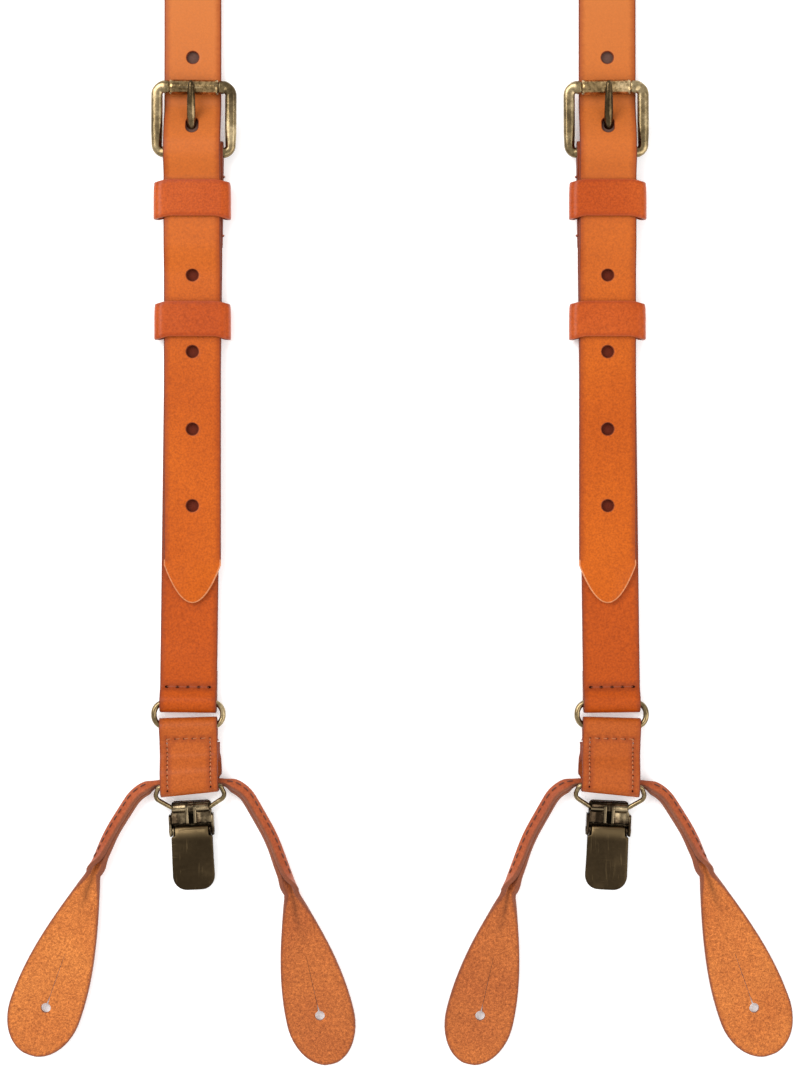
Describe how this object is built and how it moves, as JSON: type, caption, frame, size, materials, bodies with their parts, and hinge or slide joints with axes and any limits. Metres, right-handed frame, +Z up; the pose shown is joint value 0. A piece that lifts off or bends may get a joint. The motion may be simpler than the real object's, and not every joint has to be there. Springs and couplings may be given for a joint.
{
  "type": "suspenders",
  "caption": "Leather trouser suspenders with roller buckles, a Y back patch, and ends that carry both button loops and flip-lever clips.",
  "frame": {"origin": "middle of the laid-out pair in X and Y, at the surface it lies on", "axes": "+Y from the front ends up to the back end, +Z up from the surface, towards the outer faces; X across the pair"},
  "size_m": [0.274, 1.1594, 0.0119],
  "materials": {
    "tan_leather": "satin",
    "dark_leather": "gloss",
    "suede": "matt",
    "antique_brass": "satin",
    "dark_bronze": "satin",
    "thread": "matt"
  },
  "bodies": {
    "straps": {"shoulder_strap_left": "tan_leather", "front_strap_left": "tan_leather", "fixed_keeper_left": "dark_leather", "strap_stitching_left": "thread", "shoulder_strap_right": "tan_leather", "front_strap_right": "tan_leather", "fixed_keeper_right": "dark_leather", "strap_stitching_right": "thread", "back_strap": "tan_leather", "back_patch": "tan_leather", "back_lining": "tan_leather", "patch_stitching": "thread"},
    "buckle_left": {"buckle_frame_left": "antique_brass"},
    "roller_left": {"buckle_roller_left": "antique_brass"},
    "prong_left": {"buckle_prong_left": "antique_brass"},
    "keeper_left": {"sliding_keeper_left": "dark_leather"},
    "buckle_right": {"buckle_frame_right": "antique_brass"},
    "roller_right": {"buckle_roller_right": "antique_brass"},
    "prong_right": {"buckle_prong_right": "antique_brass"},
    "keeper_right": {"sliding_keeper_right": "dark_leather"},
    "ring_left": {"strap_ring_left": "antique_brass"},
    "tab_left": {"end_tab_left": "tan_leather", "tab_stitching_left": "thread"},
    "ear_left": {"button_ear_left": "suede", "ear_stitching_left": "thread"},
    "wire_left": {"clip_wire_left": "antique_brass"},
    "clip_left": {"clip_back_plate_left": "antique_brass", "clip_front_plate_left": "antique_brass", "clip_pin_left": "antique_brass"},
    "lever_left": {"clip_lever_left": "dark_bronze"},
    "jaw_left": {"clip_jaw_left": "antique_brass"},
    "ring_right": {"strap_ring_right": "antique_brass"},
    "tab_right": {"end_tab_right": "tan_leather", "tab_stitching_right": "thread"},
    "ear_right": {"button_ear_right": "suede", "ear_stitching_right": "thread"},
    "wire_right": {"clip_wire_right": "antique_brass"},
    "clip_right": {"clip_back_plate_right": "antique_brass", "clip_front_plate_right": "antique_brass", "clip_pin_right": "antique_brass"},
    "lever_right": {"clip_lever_right": "dark_bronze"},
    "jaw_right": {"clip_jaw_right": "antique_brass"},
    "ring_back": {"strap_ring_back": "antique_brass"},
    "tab_back": {"end_tab_back": "tan_leather", "tab_stitching_back": "thread"},
    "ear_back": {"button_ear_back": "suede", "ear_stitching_back": "thread"},
    "wire_back": {"clip_wire_back": "antique_brass"},
    "clip_back": {"clip_back_plate_back": "antique_brass", "clip_front_plate_back": "antique_brass", "clip_pin_back": "antique_brass"},
    "lever_back": {"clip_lever_back": "dark_bronze"},
    "jaw_back": {"clip_jaw_back": "antique_brass"}
  },
  "joints": [
    {"name": "buckle_tilt_left", "type": "hinge", "parent": "straps", "child": "buckle_left", "pos_m": [-0.0714, -0.2619, 0.0041], "axis": [0.9999, -0.0122, 0], "range_deg": [0, 3]},
    {"name": "roller_spin_left", "type": "hinge", "parent": "buckle_left", "child": "roller_left", "pos_m": [-0.07112, -0.23951, 0.0066], "axis": [0.9999, -0.0122, 0], "continuous": true},
    {"name": "prong_lift_left", "type": "hinge", "parent": "buckle_left", "child": "prong_left", "pos_m": [-0.0714, -0.2619, 0.0041], "axis": [0.9999, -0.0122, 0], "range_deg": [0, 3]},
    {"name": "keeper_slide_left", "type": "slide", "parent": "straps", "child": "keeper_left", "axis": [0, 1, 0], "range_m": [-0.072, 0.01]},
    {"name": "buckle_tilt_right", "type": "hinge", "parent": "straps", "child": "buckle_right", "pos_m": [0.0714, -0.2619, 0.0041], "axis": [0.9999, 0.0122, 0], "range_deg": [0, 3]},
    {"name": "roller_spin_right", "type": "hinge", "parent": "buckle_right", "child": "roller_right", "pos_m": [0.07112, -0.23951, 0.0066], "axis": [0.9999, 0.0122, 0], "continuous": true},
    {"name": "prong_lift_right", "type": "hinge", "parent": "buckle_right", "child": "prong_right", "pos_m": [0.0714, -0.2619, 0.0041], "axis": [0.9999, 0.0122, 0], "range_deg": [0, 3]},
    {"name": "keeper_slide_right", "type": "slide", "parent": "straps", "child": "keeper_right", "axis": [0, 1, 0], "range_m": [-0.072, 0.01]},
    {"name": "ring_swing_left", "type": "hinge", "parent": "straps", "child": "ring_left", "pos_m": [-0.07374, -0.45329, 0.0036], "axis": [-1, -0.0052, 0], "range_deg": [-60, 60]},
    {"name": "tab_swing_left", "type": "hinge", "parent": "ring_left", "child": "tab_left", "pos_m": [-0.07369, -0.46169, 0.0036], "axis": [-0.9996, -0.0279, 0], "range_deg": [-60, 60]},
    {"name": "ear_swing_left", "type": "hinge", "parent": "tab_left", "child": "ear_left", "pos_m": [-0.07314, -0.48138, 0.0039], "axis": [-0.9996, -0.0279, 0], "range_deg": [0, 80]},
    {"name": "wire_swing_left", "type": "hinge", "parent": "tab_left", "child": "wire_left", "pos_m": [-0.07311, -0.48238, 0.00675], "axis": [-0.9996, -0.0279, 0], "range_deg": [0, 45]},
    {"name": "clip_swing_left", "type": "hinge", "parent": "wire_left", "child": "clip_left", "pos_m": [-0.07291, -0.48988, 0.0033], "axis": [-0.9988, -0.0489, 0], "range_deg": [-30, 45]},
    {"name": "lever_open_left", "type": "hinge", "parent": "clip_left", "child": "lever_left", "pos_m": [-0.07252, -0.49777, 0.0034], "axis": [-0.9988, -0.0489, 0], "range_deg": [0, 100]},
    {"name": "jaw_open_left", "type": "hinge", "parent": "clip_left", "child": "jaw_left", "pos_m": [-0.07252, -0.49777, 0.0034], "axis": [-0.9988, -0.0489, 0], "range_deg": [0, 3]},
    {"name": "ring_swing_right", "type": "hinge", "parent": "straps", "child": "ring_right", "pos_m": [0.07374, -0.45329, 0.0036], "axis": [-1, 0.0052, 0], "range_deg": [-60, 60]},
    {"name": "tab_swing_right", "type": "hinge", "parent": "ring_right", "child": "tab_right", "pos_m": [0.07369, -0.46169, 0.0036], "axis": [-0.9996, 0.0279, 0], "range_deg": [-60, 60]},
    {"name": "ear_swing_right", "type": "hinge", "parent": "tab_right", "child": "ear_right", "pos_m": [0.07314, -0.48138, 0.0039], "axis": [-0.9996, 0.0279, 0], "range_deg": [0, 80]},
    {"name": "wire_swing_right", "type": "hinge", "parent": "tab_right", "child": "wire_right", "pos_m": [0.07311, -0.48238, 0.00675], "axis": [-0.9996, 0.0279, 0], "range_deg": [0, 45]},
    {"name": "clip_swing_right", "type": "hinge", "parent": "wire_right", "child": "clip_right", "pos_m": [0.07291, -0.48988, 0.0033], "axis": [-0.9988, 0.0489, 0], "range_deg": [-30, 45]},
    {"name": "lever_open_right", "type": "hinge", "parent": "clip_right", "child": "lever_right", "pos_m": [0.07252, -0.49777, 0.0034], "axis": [-0.9988, 0.0489, 0], "range_deg": [0, 100]},
    {"name": "jaw_open_right", "type": "hinge", "parent": "clip_right", "child": "jaw_right", "pos_m": [0.07252, -0.49777, 0.0034], "axis": [-0.9988, 0.0489, 0], "range_deg": [0, 3]},
    {"name": "ring_swing_back", "type": "hinge", "parent": "straps", "child": "ring_back", "pos_m": [0, 0.4533, 0.0036], "axis": [0.9998, 0.0175, 0], "range_deg": [-60, 60]},
    {"name": "tab_swing_back", "type": "hinge", "parent": "ring_back", "child": "tab_back", "pos_m": [-0.00015, 0.4617, 0.0036], "axis": [0.9992, 0.0401, 0], "range_deg": [-60, 60]},
    {"name": "ear_swing_back", "type": "hinge", "parent": "tab_back", "child": "ear_back", "pos_m": [-0.00094, 0.48138, 0.0039], "axis": [0.9992, 0.0401, 0], "range_deg": [0, 80]},
    {"name": "wire_swing_back", "type": "hinge", "parent": "tab_back", "child": "wire_back", "pos_m": [-0.00098, 0.48238, 0.00675], "axis": [0.9992, 0.0401, 0], "range_deg": [0, 45]},
    {"name": "clip_swing_back", "type": "hinge", "parent": "wire_back", "child": "clip_back", "pos_m": [-0.00128, 0.48988, 0.0033], "axis": [0.9981, 0.061, 0], "range_deg": [-30, 45]},
    {"name": "lever_open_back", "type": "hinge", "parent": "clip_back", "child": "lever_back", "pos_m": [-0.00176, 0.49776, 0.0034], "axis": [0.9981, 0.061, 0], "range_deg": [0, 100]},
    {"name": "jaw_open_back", "type": "hinge", "parent": "clip_back", "child": "jaw_back", "pos_m": [-0.00176, 0.49776, 0.0034], "axis": [0.9981, 0.061, 0], "range_deg": [0, 3]}
  ]
}
